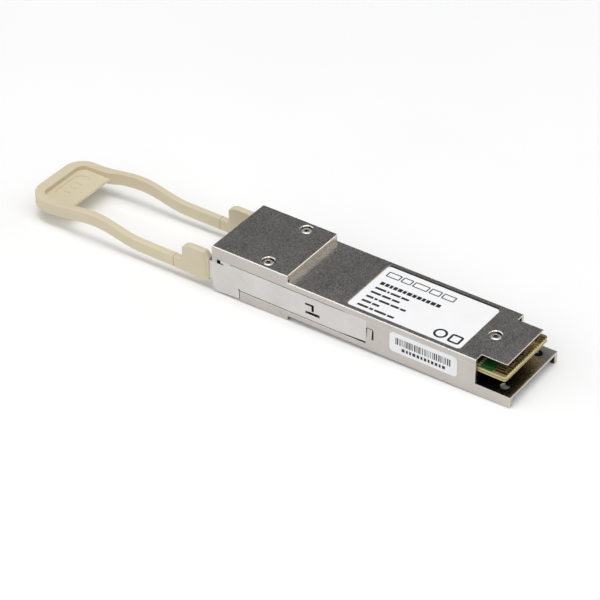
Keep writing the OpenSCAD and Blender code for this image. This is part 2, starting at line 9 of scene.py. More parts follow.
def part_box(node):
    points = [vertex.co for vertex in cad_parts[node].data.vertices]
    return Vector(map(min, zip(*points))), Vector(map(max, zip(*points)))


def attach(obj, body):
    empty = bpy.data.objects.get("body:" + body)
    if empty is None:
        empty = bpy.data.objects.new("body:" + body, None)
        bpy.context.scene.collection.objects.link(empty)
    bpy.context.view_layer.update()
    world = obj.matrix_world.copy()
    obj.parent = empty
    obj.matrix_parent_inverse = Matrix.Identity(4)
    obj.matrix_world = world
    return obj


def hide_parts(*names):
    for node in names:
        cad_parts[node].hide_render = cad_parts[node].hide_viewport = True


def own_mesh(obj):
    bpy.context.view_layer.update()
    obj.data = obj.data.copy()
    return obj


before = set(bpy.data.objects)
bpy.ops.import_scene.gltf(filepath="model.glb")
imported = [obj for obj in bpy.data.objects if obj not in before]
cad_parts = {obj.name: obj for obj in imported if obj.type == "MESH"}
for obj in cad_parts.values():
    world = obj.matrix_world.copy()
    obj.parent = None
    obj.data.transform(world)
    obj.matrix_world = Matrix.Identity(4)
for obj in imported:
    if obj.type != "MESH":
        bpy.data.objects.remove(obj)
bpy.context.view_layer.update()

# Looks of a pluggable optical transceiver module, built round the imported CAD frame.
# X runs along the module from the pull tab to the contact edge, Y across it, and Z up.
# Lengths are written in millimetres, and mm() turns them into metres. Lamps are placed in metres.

# The two bodies: everything fixed, and the bracket that slides with its pull tab
SHELL = "shell"
RELEASE = "release"

# Top face of the body behind the nose, and the ends of the small ledge at the nose's foot:
# how far they lie inside the body's side, and how far they are drawn in
BODY_TOP = 8.5
LEDGE_INSET, LEDGE_SHIFT = 0.15, 0.3
# Two heights or sides this close count as one
TOUCH = 0.01


def mm(*values):
    """Millimetres to metres: a number for one value, and a vector for several."""
    return Vector([v * 0.001 for v in values]) if len(values) > 1 else values[0] * 0.001


def low_high(node):
    """A node's box in millimetres."""
    low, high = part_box(node)
    return low * 1000, high * 1000


# ------------------------------------------------------------------ camera


CAMERA_PLACE = (244.008, -351.083, 314.491)
CAMERA_AIM = (2.013, -7.541, 4.0)
CAMERA_ROLL = -0.303
CAMERA_LENS = 152.378
CAMERA_SENSOR = 36


def place_object(name, data):
    """A new object in the scene."""
    thing = bpy.data.objects.new(name, data)
    bpy.context.scene.collection.objects.link(thing)
    return thing


def looking(place, aim):
    """The rotation of a camera or lamp at a place, turned towards an aim."""
    return (aim - place).to_track_quat("-Z", "Y").to_matrix()


def add_camera():
    data = bpy.data.cameras.new("camera")
    data.sensor_width = CAMERA_SENSOR
    data.lens = CAMERA_LENS
    data.clip_start = 0.01
    data.clip_end = 20
    camera = place_object("camera", data)
    place = mm(*CAMERA_PLACE)
    turn = looking(place, mm(*CAMERA_AIM)) @ Matrix.Rotation(math.radians(CAMERA_ROLL), 3, "Z")
    camera.matrix_world = Matrix.Translation(place) @ turn.to_4x4()
    bpy.context.scene.camera = camera


# ------------------------------------------------------------------ studio


# Name, place in metres, width and height in metres, and power in watts. Each lamp faces the origin.
LAMPS = (
    ("overhead", (0.0, 0.0, 1.3), (2.2, 1.0), 10.7),
    ("overhead_core", (0.0, -0.1, 1.3), (0.7, 0.3), 3.4),
    ("front", (0.1, -1.3, 0.9), (2.6, 1.0), 8.2),
    ("left", (-1.25, -0.6, 0.65), (1.0, 0.8), 4),
    ("right", (1.3, -0.1, 0.95), (0.8, 1.0), 3.7),
    ("back_right", (0.74, 1.05, 0.95), (1.3, 0.9), 2.4),
    ("rim_right", (0.95, 1.05, 0.74), (0.5, 0.35), 0.8),
    ("rim_front", (-0.68, -0.87, 0.96), (0.5, 0.35), 0.6),
    ("glint", (0.51, -0.73, 1.2), (0.5, 0.3), 1.0),
)
FLOOR_HALF = 3.0
WORLD_STRENGTH = 0.07


def add_lamp(name, place, size, power):
    data = bpy.data.lights.new(name, "AREA")
    data.shape = "RECTANGLE"
    data.size, data.size_y = size
    data.energy = power
    place = Vector(place)
    turn = looking(place, Vector((0, 0, 0))).to_4x4()
    place_object(name, data).matrix_world = Matrix.Translation(place) @ turn


def add_floor():
    """A pale floor that the module rests on: it touches the nose's bottom and the body's rear end."""
    low, high = low_high("bottom_housing")
    tilt = math.atan2(-low.z, high.x)
    data = bpy.data.meshes.new("floor")
    corners = [(x * FLOOR_HALF, y * FLOOR_HALF, 0) for x, y in ((-1, -1), (1, -1), (1, 1), (-1, 1))]
    data.from_pydata(corners, [], [(0, 1, 2, 3)])
    floor = place_object("floor", data)
    floor.matrix_world = Matrix.Translation(mm(0, 0, low.z)) @ Matrix.Rotation(-tilt, 4, "Y")
    data.materials.append(floor_material())


def add_world():
    world = bpy.data.worlds.new("studio")
    world.use_nodes = True
    background = world.node_tree.nodes["Background"]
    background.inputs["Color"].default_value = (1, 1, 1, 1)
    background.inputs["Strength"].default_value = WORLD_STRENGTH
    bpy.context.scene.world = world
    bpy.context.scene.view_settings.view_transform = "Standard"


def add_studio():
    add_floor()
    for lamp in LAMPS:
        add_lamp(*lamp)
    add_world()


# ------------------------------------------------------------------ materials


class Shader:
    """A small helper that builds one procedural material."""

    def __init__(self, name):
        self.material = bpy.data.materials.new(name)
        self.material.use_nodes = True
        self.tree = self.material.node_tree
        self.surface = self.tree.nodes["Principled BSDF"]
        self.coords = self.add("ShaderNodeTexCoord").outputs["Object"]

    def add(self, kind, **settings):
        node = self.tree.nodes.new(kind)
        for key, value in settings.items():
            setattr(node, key, value)
        return node

    def link(self, source, target):
        self.tree.links.new(source, target)

    def set(self, **values):
        """Sets or links sockets of the surface shader; an underscore in a name stands for a space."""
        for key, value in values.items():
            socket = self.surface.inputs[key.replace("_", " ")]
            if hasattr(value, "is_linked"):
                self.link(value, socket)
            elif isinstance(value, tuple):
                socket.default_value = (*value, 1)
            else:
                socket.default_value = value

    def stretched(self, scale):
        node = self.add("ShaderNodeMapping")
        self.link(self.coords, node.inputs["Vector"])
        node.inputs["Scale"].default_value = scale
        return node.outputs["Vector"]

    def noise(self, feature, detail=3.0, roughness=0.5, stretch=(1, 1, 1)):
        """Noise whose features are about the given number of millimetres across."""
        node = self.add("ShaderNodeTexNoise")
        self.link(self.stretched(stretch), node.inputs["Vector"])
        node.inputs["Scale"].default_value = 1000.0 / feature
        node.inputs["Detail"].default_value = detail
        node.inputs["Roughness"].default_value = roughness
        return node.outputs["Fac"]

    def spread(self, value, low, high, start=0.3, end=0.7):
        """Maps a value between start and end to a number between low and high."""
        node = self.add("ShaderNodeMapRange")
        self.link(value, node.inputs["Value"])
        node.inputs["From Min"].default_value = start
        node.inputs["From Max"].default_value = end
        node.inputs["To Min"].default_value = low
        node.inputs["To Max"].default_value = high
        return node.outputs["Result"]

    def mix(self, factor, first, second, how="MIX"):
        node = self.add("ShaderNodeMix", data_type="RGBA", blend_type=how)
        if hasattr(factor, "is_linked"):
            self.link(factor, node.inputs["Factor"])
        else:
            node.inputs["Factor"].default_value = factor
        for socket, value in ((node.inputs[6], first), (node.inputs[7], second)):
            if hasattr(value, "is_linked"):
                self.link(value, socket)
            else:
                socket.default_value = (*value, 1)
        return node.outputs[2]

    def math(self, how, first, second):
        node = self.add("ShaderNodeMath", operation=how)
        for socket, value in zip(node.inputs, (first, second)):
            if hasattr(value, "is_linked"):
                self.link(value, socket)
            else:
                socket.default_value = value
        return node.outputs["Value"]

    def times(self, first, second):
        return self.math("MULTIPLY", first, second)

    def absolute(self, value):
        return self.math("ABSOLUTE", value, 0.0)

    def axis(self, name, source="Object"):
        """One coordinate of the place on the object in metres, or of its normal."""
        node = self.add("ShaderNodeSeparateXYZ")
        self.link(self.add("ShaderNodeTexCoord").outputs[source], node.inputs["Vector"])
        return node.outputs[name]

    def attribute(self, name):
        return self.add("ShaderNodeAttribute", attribute_name=name).outputs["Fac"]

    def bump(self, height, depth, strength=1.0, below=None):
        """Bump whose height of 0 to 1 stands for the given depth in millimetres."""
        node = self.add("ShaderNodeBump")
        self.link(height, node.inputs["Height"])
        node.inputs["Distance"].default_value = depth * 0.001
        node.inputs["Strength"].default_value = strength
        if below is not None:
            self.link(below, node.inputs["Normal"])
        return node.outputs["Normal"]


def floor_material():
    s = Shader("studio_floor")
    grain = s.spread(s.noise(60, 2), 0.0, 1.0)
    s.set(Base_Color=s.mix(grain, (0.93, 0.93, 0.93), (0.95, 0.95, 0.95)), Roughness=0.9)
    s.set(Specular_IOR_Level=0.0)
    return s.material


# Share of a normal along an axis, from a face that looks elsewhere to one that looks that way
FACING = (0.6, 0.95)
# Heights just above the rear ledge, between which its painted shade and painted light fade out
LEDGE_LIMITS = (2.8, 3.2)
# Depth below the side at which the painted shade of a recess is quite dark, and at which it begins
RECESS_DEEP, RECESS_SHALLOW = 0.32, 0.22


def shell_material(side):
    """Nickel plate over a die casting: blasted to a fine grain on top, smooth and pale on its sides.

    Faces that lie deeper than the side, at a given half-width, are given painted shade for the dark of the
    bracket's recess.
    The low ledge at the rear gets painted shade under the board, and painted light at its open end. Faces
    that look along the module get a brown tint, a painted warm reflection.
    """
    s = Shader("plated_die_cast")
    up = s.spread(s.absolute(s.axis("Z", "Normal")), 0, 1, *FACING)
    upward = s.spread(s.axis("Z", "Normal"), 0, 1, *FACING)
    low_down = s.times(s.spread(s.axis("Z"), 1, 0, *mm(*LEDGE_LIMITS)), upward)
    grain = s.noise(0.2, 1, 0.6)
    cloud = s.noise(6, 3)
    # Roundings are lightened, most where they face upward: partly edge wear, partly a painted highlight
    rim = s.times(s.attribute("rim"), s.spread(s.axis("Z", "Normal"), 0.2, 1, 0.05, 0.3))
    top = s.mix(s.spread(grain, 0, 1, 0.3, 0.7), (0.36, 0.348, 0.33), (0.86, 0.84, 0.81))
    flank = s.mix(s.spread(cloud, 0, 1), (0.51, 0.48, 0.448), (0.56, 0.53, 0.495))
    tone = s.mix(up, flank, top)
    tone = s.mix(rim, tone, (0.82, 0.79, 0.75))
    # Painted shade: side faces sunk behind the side, in the bracket's recess, are darkened almost to black
    sideways = s.math("GREATER_THAN", s.absolute(s.axis("Y", "Normal")), 0.9)
    recess_painted_shade_mask = s.spread(s.absolute(s.axis("Y")), 1, 0, side - mm(RECESS_DEEP), side - mm(RECESS_SHALLOW))
    tone = s.mix(s.times(sideways, recess_painted_shade_mask), tone, (0.05, 0.047, 0.042))
    # Painted shade: the rear ledge's up faces are darkened under the board, most on the near side, over a
    # grain
    ledge_painted_shade = s.mix(s.spread(s.noise(0.35, 2), 0, 1, 0.4, 0.65), (0.06, 0.052, 0.04), (0.34, 0.30, 0.25))
    ledge_painted_shade_mask = s.times(low_down, s.spread(s.axis("Y"), 0.85, 0.1, mm(-1.0), mm(6.5)))
    tone = s.mix(ledge_painted_shade_mask, tone, ledge_painted_shade)
    # Painted light: the ledge is lightened towards its open far end
    ledge_painted_light_mask = s.times(low_down, s.spread(s.axis("Y"), 0, 0.9, mm(4.0), mm(8.0)))
    tone = s.mix(ledge_painted_light_mask, tone, (0.95, 0.935, 0.91))
    # Painted warm reflection: faces that look along the module are tinted brown and darkened a little
    endways = s.spread(s.axis("X", "Normal"), 0, 0.8, *FACING)
    tone = s.mix(endways, tone, (1.0, 0.945, 0.80), "MULTIPLY")
    rough = s.math("ADD", s.times(up, s.spread(grain, 0.0, 0.12)), s.spread(cloud, 0.27, 0.31))
    rough = s.math("SUBTRACT", rough, s.times(ledge_painted_shade_mask, 0.15))
    rough = s.math("SUBTRACT", rough, s.times(rim, 0.06))
    s.set(Base_Color=tone, Metallic=1.0, Roughness=rough)
    blasted = s.times(s.times(grain, up), s.math("SUBTRACT", 1.0, rim))
    s.set(Normal=s.bump(blasted, 0.008, 0.5))
    return s.material


def bracket_material():
    """Stamped sheet with faint rolling streaks along it, and rounded edges lightened partly as burnished wear
    and partly as a painted highlight.
    """
    s = Shader("bracket_steel")
    cloud = s.noise(5, 4, 0.55)
    streak = s.noise(0.5, 3, 0.6, (0.04, 1, 1))
    rim = s.attribute("rim")
    tone = s.mix(s.spread(cloud, 0, 1), (0.60, 0.585, 0.56), (0.66, 0.645, 0.625))
    # Partly burnished wear, partly a painted highlight: the roundings are lightened
    tone = s.mix(s.times(rim, 0.5), tone, (0.74, 0.73, 0.71))
    s.set(Base_Color=tone, Metallic=1.0, Roughness=s.spread(streak, 0.26, 0.38))
    s.set(Normal=s.bump(streak, 0.003, 0.4))
    return s.material


FIRST_PLY, PLY_PITCH = 0.26, 0.78


def laminate_material(top):
    """Glass-fibre laminate: pale yellow at a cut edge, with darker plies, and tan on its faces."""
    s = Shader("bare_laminate")
    phase = s.times(s.math("SUBTRACT", s.axis("Z"), top - mm(FIRST_PLY)), 2 * math.pi / mm(PLY_PITCH))
    plies = s.spread(s.math("COSINE", phase, 0.0), 0, 1, -0.8, 0.8)
    weave = s.noise(0.25, 2, 0.5, (1, 1, 3))
    edge = s.mix(plies, (0.30, 0.25, 0.09), (0.62, 0.57, 0.28))
    edge = s.mix(s.spread(weave, 0, 0.35), edge, (0.45, 0.38, 0.15))
    face = s.mix(s.spread(weave, 0, 1), (0.15, 0.11, 0.055), (0.22, 0.17, 0.085))
    flat = s.math("GREATER_THAN", s.absolute(s.axis("Z", "Normal")), 0.9)
    s.set(Base_Color=s.mix(flat, edge, face), Roughness=s.spread(weave, 0.35, 0.5))
    s.set(Normal=s.bump(weave, 0.006, 0.5))
    return s.material


def mask_material(name="solder_mask", deep=(0.010, 0.058, 0.013), light=(0.021, 0.104, 0.022)):
    """Glossy green lacquer with a faint weave showing through."""
    s = Shader(name)
    weave = s.noise(0.35, 2, 0.5)
    cloud = s.noise(3, 3)
    tone = s.mix(s.spread(weave, 0, 1), deep, light)
    tone = s.mix(s.spread(cloud, 0, 0.3), tone, deep)
    s.set(Base_Color=tone, Roughness=s.spread(weave, 0.14, 0.24), Normal=s.bump(weave, 0.003, 0.4))
    return s.material


def ink_material():
    """Black print with a little mottle."""
    s = Shader("label_ink")
    grain = s.noise(0.12, 2)
    s.set(Base_Color=s.mix(s.spread(grain, 0, 1), (0.008, 0.008, 0.009), (0.022, 0.022, 0.024)))
    s.set(Roughness=s.spread(grain, 0.45, 0.6))
    return s.material


def plastic_material(name, light, dark, feature=0.25, depth=0.01, rough=(0.42, 0.56), cloudy=8):
    """A plastic, rubber, paper or ceramic with clouds of two tones over a fine grain."""
    s = Shader(name)
    cloud = s.noise(cloudy, 2)
    grain = s.noise(feature, 3)
    s.set(Base_Color=s.mix(s.spread(cloud, 0, 1), dark, light), Roughness=s.spread(grain, *rough))
    s.set(Normal=s.bump(grain, depth, 0.5))
    return s.material


def tab_material():
    """Pale moulded plastic with a fine line where two parts of the mould met."""
    s = Shader("tab_plastic")
    cloud = s.noise(8, 2)
    grain = s.noise(0.25, 3)
    away = s.absolute(s.math("SUBTRACT", s.axis("X"), mm(MOULD_LINE)))
    line = s.spread(away, 1, 0, mm(0.05), mm(0.11))
    tone = s.mix(s.spread(cloud, 0, 1), (0.645, 0.568, 0.405), (0.675, 0.60, 0.43))
    s.set(Base_Color=s.mix(line, tone, (0.36, 0.29, 0.17)), Roughness=s.spread(grain, 0.42, 0.56))
    s.set(Normal=s.bump(grain, 0.01, 0.5))
    return s.material


def metal_material(name, light, dark, feature=0.3, rough=(0.2, 0.35), depth=0.004):
    """A bare or plated metal whose tone and gloss vary together in a fine grain."""
    s = Shader(name)
    grain = s.noise(feature, 3)
    s.set(Base_Color=s.mix(s.spread(grain, 0, 1), dark, light), Metallic=1.0)
    s.set(Roughness=s.spread(grain, *rough), Normal=s.bump(grain, depth, 0.5))
    return s.material


# ------------------------------------------------------------------ mesh helpers


SMOOTH_LIMIT = 40


def shade(mesh):
    """Normals weighted by area: large faces stay flat, and the roundings between them are smooth."""
    bm = bmesh.new()
    bm.from_mesh(mesh)
    bm.normal_update()
    bm.faces.index_update()
    limit = math.radians(SMOOTH_LIMIT)
    smooth = {e for e in bm.edges if len(e.link_faces) == 2 and e.calc_face_angle(9) < limit}
    weight = [max(f.calc_area(), 1e-14) ** 1.5 for f in bm.faces]
    normals = [Vector((0, 0, 1))] * len(mesh.loops)
    for vert in bm.verts:
        joins = [e for e in vert.link_edges if e in smooth]
        for loop in vert.link_loops:
            fan = {loop.face}
            queue = [loop.face]
            while queue:
                face = queue.pop()
                for edge in joins:
                    if face in edge.link_faces:
                        for other in edge.link_faces:
                            if other not in fan:
                                fan.add(other)
                                queue.append(other)
            total = sum((f.normal * weight[f.index] for f in fan), Vector())
            normals[loop.index] = total.normalized() if total.length > 0 else loop.face.normal.copy()
    bm.free()
    mesh.shade_smooth()
    mesh.normals_split_custom_set(normals)


def make_piece(name, bm, material, body):
    """A finished visible piece from a bmesh, with one material or a list, riding on a body."""
    mesh = bpy.data.meshes.new(name)
    bm.normal_update()
    bm.to_mesh(mesh)
    bm.free()
    piece = place_object(name, mesh)
    for each in material if isinstance(material, list) else [material]:
        mesh.materials.append(each)
    shade(mesh)
    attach(piece, body)
    return piece


SHARP_ANGLE = 25
SHORT_SHARE = 2.3
ROUNDING_STEPS = 4
WIDE_PROFILE = 0.36


def softened(node, name, material, body, width, shortest=0.8, wide=0.0, is_wide=None, on_rim=None,
             moved=None):
    """A copy of a CAD node with its long sharp edges rounded over by a width.

    Edges whose ends pass is_wide are rounded by wide instead, and so are those of any length that pass
    on_rim. An edge that meets a short one stays sharp. moved shifts corners before the rounding. The new
    faces carry the attribute rim.
    """
    bm = bmesh.new()
    bm.from_mesh(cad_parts[node].data)
    bmesh.ops.remove_doubles(bm, verts=bm.verts, dist=1e-6)
    for vert in bm.verts if moved else ():
        vert.co = mm(*moved(*(vert.co * 1000)))
    bmesh.ops.dissolve_limit(bm, angle_limit=math.radians(0.4), verts=bm.verts, edges=bm.edges)
    layer = bm.edges.layers.float.new("bevel_weight_edge")
    limit = math.radians(SHARP_ANGLE)
    sharp = [e for e in bm.edges if len(e.link_faces) == 2 and e.calc_face_angle(0) > limit]
    short = {v for e in sharp for v in e.verts if e.calc_length() < mm(SHORT_SHARE * width)}
    largest = max(width, wide)
    for edge in sharp:
        ends = [v.co * 1000 for v in edge.verts]
        if on_rim is not None and all(on_rim(*end) for end in ends):
            edge[layer] = 1.0
        elif edge.calc_length() > mm(shortest) and not short & set(edge.verts):
            broad = is_wide is not None and all(is_wide(*end) for end in ends)
            edge[layer] = 1.0 if broad else width / largest
    for face in bm.faces:
        face.material_index = 0
    base = keep(name + "_base", bm)
    # The second slot only marks the roundings, until it becomes the attribute
    for _ in range(2):
        base.data.materials.append(material)
    modifier = base.modifiers.new("rounding", "BEVEL")
    modifier.limit_method = "WEIGHT"
    modifier.width = mm(largest)
    modifier.offset_type = "OFFSET"
    modifier.segments = ROUNDING_STEPS
    modifier.profile = WIDE_PROFILE if wide else 0.5
    modifier.use_clamp_overlap = False
    modifier.material = 1
    bm = unite(base, [])
    rim = bm.faces.layers.float.new("rim")
    for face in bm.faces:
        face[rim] = float(face.material_index)
        face.material_index = 0
    piece = make_piece(name, bm, material, body)
    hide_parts(node)


# ------------------------------------------------------------------ pull tab


def clamp(t):
    return min(1.0, max(0.0, t))


def ease(t):
    """A smooth step from 0 to 1."""
    return (1 - math.cos(math.pi * clamp(t))) / 2


# Half-width of the loop, and the widths of its arms, of the handle's sides and of the handle's end
TAB_HALF = 9.075
TAB_ARM = 1.55
TAB_RIM_SIDE = 2.1
TAB_RIM_END = 2.65
TAB_CORNER, TAB_INNER_CORNER = 4.8, 2
# The hump of the arms along X, and the middle heights of arm and handle
WAVE_START, WAVE_PEAK, WAVE_END = -38.75, -51.05, -64.25
ARM_MID, WAVE_RISE, HANDLE_MID = 1.8, 1.86, 2.15
ARM_HEIGHT, HANDLE_HEIGHT = 2.8, 3.0
# The web inside the handle, with its free edge, the oval sunk into it, and the bars left in the oval
WEB_EDGE = -60.3
WEB_LOW, WEB_TOP = 1.5, 2.6
WEB_FILLET = 1.5
PAD_DEPTH = 0.15
PAD_START, PAD_END, PAD_HALF = 3.65, 7.95, 4.85
GRIP_START, GRIP_END, GRIP_RADIUS = 5.24, 6.36, 0.34
GRIP_ROWS = (-2, 0, 2)
# Where the ears join the arms
MOULD_LINE = -29.65
# Corners of the loop's section: end (1 is outer), side (1 is upper), first angle and radius
SECTION_CORNERS = ((1, 1, 0, 0.26), (0, 1, 90, 0.12), (0, -1, 180, 0.2), (1, -1, 270, 0.3))
SECTION_STEPS = 4
RAIL_STEPS, CORNER_STEPS, END_STEPS = 64, 14, 8
# How far pieces of the moulding reach into each other before they are united
OVERLAP = 0.5


def tab_mid(x):
    """Height of the middle of the loop."""
    if x > WAVE_PEAK:
        return ARM_MID + WAVE_RISE * ease((WAVE_START - x) / (WAVE_START - WAVE_PEAK))
    fall = ease((WAVE_PEAK - x) / (WAVE_PEAK - WAVE_END))
    return HANDLE_MID + (ARM_MID + WAVE_RISE - HANDLE_MID) * (1 - fall)


def tab_height(x):
    """Thickness of the loop."""
    return ARM_HEIGHT + (HANDLE_HEIGHT - ARM_HEIGHT) * ease((WAVE_START - x) / (WAVE_START - WAVE_END))


def arc(centre, radius, start, end, steps):
    """Points along an arc, with its angles in degrees."""
    return [
        (centre[0] + radius * math.cos(math.radians(start + (end - start) * i / steps)),
         centre[1] + radius * math.sin(math.radians(start + (end - start) * i / steps)))
        for i in range(steps + 1)]


def tab_rails(tab_x0):
    """Matching points on the outer and the inner edge of the loop, seen from above, for one side."""
    outer, inner = [], []
    start = MOULD_LINE + 1.2
    corner_x = tab_x0 + TAB_CORNER
    inner_corner_x = tab_x0 + TAB_RIM_END + TAB_INNER_CORNER
    for i in range(RAIL_STEPS):
        t = i / RAIL_STEPS
        x_out = start + (corner_x - start) * t
        x_in = start + (inner_corner_x - start) * t
        side = TAB_ARM + (TAB_RIM_SIDE - TAB_ARM) * ease((WEB_EDGE + 4 - x_in) / 4)
        outer.append((x_out, TAB_HALF))
        inner.append((x_in, TAB_HALF - side))
    outer_y = TAB_HALF - TAB_CORNER
    inner_y = TAB_HALF - TAB_RIM_SIDE - TAB_INNER_CORNER
    outer += arc((corner_x, outer_y), TAB_CORNER, 90, 180, CORNER_STEPS)
    inner += arc((inner_corner_x, inner_y), TAB_INNER_CORNER, 90, 180, CORNER_STEPS)
    for i in range(1, END_STEPS):
        outer.append((tab_x0, outer_y * (1 - i / END_STEPS)))
        inner.append((tab_x0 + TAB_RIM_END, inner_y * (1 - i / END_STEPS)))
    return outer, inner


def section(bm, inner, outer):
    """A section of the loop between a point on its inner and one on its outer edge, its corners rounded."""
    inner, outer = Vector(inner), Vector(outer)
    width = (outer - inner).length
    across = (outer - inner) / width
    ring = []
    for end, side, angle, radius in SECTION_CORNERS:
        for i in range(SECTION_STEPS + 1):
            a = math.radians(angle + 90 * i / SECTION_STEPS)
            s = (width - radius if end else radius) + radius * math.cos(a)
            place = inner + across * s
            half = tab_height(place.x) / 2
            z = tab_mid(place.x) + side * (half - radius) + radius * math.sin(a)
            ring.append(bm.verts.new(mm(place.x, place.y, z)))
    return ring


def join_rings(bm, rings, cap=True):
    """Faces between neighbouring rings of equal count, and one at each end if capped."""
    for first, second in zip(rings, rings[1:]):
        count = len(first)
        for i in range(count):
            j = (i + 1) % count
            bm.faces.new((first[i], first[j], second[j], second[i]))
    if cap:
        bm.faces.new(list(reversed(rings[0])))
        bm.faces.new(rings[-1])
    bmesh.ops.recalc_face_normals(bm, faces=bm.faces)


def rounded_plate(bm, outline, low, high, radius, steps=4):
    """An outline in X and Z given thickness along Y, with its long edges rounded over."""
    count = len(outline)
    points = [Vector(p) for p in outline]
    normals = []
    for i, point in enumerate(points):
        before, after = points[i - 1], points[(i + 1) % count]
        one = (point - before).normalized()
        two = (after - point).normalized()
        n = Vector((one.y + two.y, -one.x - two.x)).normalized()
        n *= 1 / max(0.5, n.dot(Vector((one.y, -one.x))))
        normals.append(n)
    area = sum(points[i - 1].x * p.y - p.x * points[i - 1].y for i, p in enumerate(points))
    sign = 1 if area > 0 else -1
    rings = []
    levels = [(low + radius * (1 - math.cos(a)), radius * (1 - math.sin(a)))
              for a in (math.pi / 2 * i / steps for i in range(steps + 1))]
    levels += [(low + high - y, inset) for y, inset in reversed(levels)]
    for y, inset in levels:
        rings.append([
            bm.verts.new(mm(p.x - sign * n.x * inset, y, p.y - sign * n.y * inset))
            for p, n in zip(points, normals)])
    join_rings(bm, rings)


def filleted(corners, steps=5):
    """Corners given as x, z, radius; each with a radius becomes an arc."""
    out = []
    count = len(corners)
    for i, (x, z, radius) in enumerate(corners):
        here = Vector((x, z))
        if radius <= 0:
            out.append((x, z))
            continue
        before = Vector(corners[i - 1][:2]) - here
        after = Vector(corners[(i + 1) % count][:2]) - here
        half = before.angle(after) / 2
        cut = radius / math.tan(half)
        start, end = here + before.normalized() * cut, here + after.normalized() * cut
        centre = here + (before.normalized() + after.normalized()).normalized() * (radius / math.sin(half))
        one, two = start - centre, end - centre
        turn = one.angle_signed(two)
        for k in range(steps + 1):
            a = -turn * k / steps
            c, s = math.cos(a), math.sin(a)
            out.append((centre.x + one.x * c - one.y * s, centre.y + one.x * s + one.y * c))
    return out


def solid(name, fill):
    """A solid for a boolean, made by a function that fills a bmesh."""
    bm = bmesh.new()
    fill(bm)
    return keep(name, bm)


def keep(name, bm):
    """A mesh kept as a solid for a further boolean."""
    mesh = bpy.data.meshes.new(name)
    bm.to_mesh(mesh)
    bm.free()
    return place_object(name, mesh)


def unite(base, others, how="UNION"):
    """The modifiers of a solid and its boolean with others, as a bmesh; all the solids are removed."""
    for other in others:
        modifier = base.modifiers.new("join", "BOOLEAN")
        modifier.operation = how
        modifier.solver = "EXACT"
        modifier.object = other
    graph = bpy.context.evaluated_depsgraph_get()
    mesh = bpy.data.meshes.new_from_object(base.evaluated_get(graph), depsgraph=graph)
    bm = bmesh.new()
    bm.from_mesh(mesh)
    bmesh.ops.remove_doubles(bm, verts=bm.verts, dist=2e-7)
    bmesh.ops.dissolve_degenerate(bm, edges=bm.edges, dist=1e-7)
    bpy.data.meshes.remove(mesh)
    for part in [base, *others]:
        data = part.data
        bpy.data.objects.remove(part)
        bpy.data.meshes.remove(data)
    return bm


def stadium(bm, x, half_width, z, steps=14):
    """An upright oval block."""
    radius = (x[1] - x[0]) / 2
    middle = (x[0] + x[1]) / 2
    ring = arc((middle, half_width - radius), radius, 0, 180, steps)
    ring += arc((middle, radius - half_width), radius, 180, 360, steps)
    join_rings(bm, [[bm.verts.new(mm(px, py, height)) for px, py in ring] for height in z])


def tab_loop(bm, tab_x0):
    outer, inner = tab_rails(tab_x0)
    outer += [(tab_x0, 0)] + [(x, -y) for x, y in reversed(outer)]
    inner += [(tab_x0 + TAB_RIM_END, 0)] + [(x, -y) for x, y in reversed(inner)]
    join_rings(bm, [section(bm, i, o) for i, o in zip(inner, outer)])


def tab_ear(bm, side, rear_x, top):
    """The upright ear at the end of one arm, wide enough to swallow the arm's own faces."""
    proud = 0.01
    arm_low, arm_top = ARM_MID - ARM_HEIGHT / 2, ARM_MID + ARM_HEIGHT / 2
    corners = [
        (MOULD_LINE, arm_low - proud, 0), (MOULD_LINE, arm_top + proud, 0),
        (rear_x - 7.15, arm_top + proud, 0.5), (rear_x - 7.15, 6.4, 0.45),
        (rear_x - 6.55, 7.05, 0.6), (rear_x - 5.25, top, 0.9), (rear_x - 1.15, top, 0.12),
        (rear_x, 6.25, 0.12), (rear_x, 0.9, 0.2), (rear_x - 0.9, 0.0, 0.3),
        (rear_x - 1.6, 0.02, 0), (rear_x - 4.3, 0.25, 0)]
    span = sorted((side * (TAB_HALF - TAB_ARM - 0.012), side * (TAB_HALF + 0.012)))
    rounded_plate(bm, filleted(corners), *span, 0.3)


def tab_web(bm, tab_x0, rows=48, edge_steps=10):
    """The thin web that closes the handle, its free edge round and curved forward into the arms."""
    half = TAB_HALF - TAB_RIM_SIDE + OVERLAP
    bulge = (WEB_TOP - WEB_LOW) / 2
    rear = tab_x0 + TAB_RIM_END - OVERLAP
    rings = []
    for i in range(rows + 1):
        y = -half + 2 * half * i / rows
        near = min(max(0.0, abs(y) - (TAB_HALF - TAB_ARM - WEB_FILLET)), WEB_FILLET)
        edge = WEB_EDGE + WEB_FILLET - math.sqrt(WEB_FILLET ** 2 - near ** 2)
        ring = [(rear, WEB_LOW), (rear, WEB_TOP)]
        ring += [(edge + bulge * math.cos(a), WEB_LOW + bulge + bulge * math.sin(a))
                 for a in (math.pi / 2 - math.pi * k / edge_steps for k in range(edge_steps + 1))]
        rings.append([bm.verts.new(mm(x, y, z)) for x, z in ring])
    join_rings(bm, rings)


def grip(bm, tab_x0, y):
    """One bar of the grip pattern, standing in the oval, with rounded ends and a soft top."""
    rings = []
    for inset, height in ((0, WEB_LOW + 0.4), (0, WEB_TOP - 0.06), (0.02, WEB_TOP - 0.02), (0.07, WEB_TOP)):
        r = GRIP_RADIUS - inset
        ring = arc((tab_x0 + GRIP_END, y), r, -90, 90, 6) + arc((tab_x0 + GRIP_START, y), r, 90, 270, 6)
        rings.append([bm.verts.new(mm(px, py, height)) for px, py in ring])
    join_rings(bm, rings)


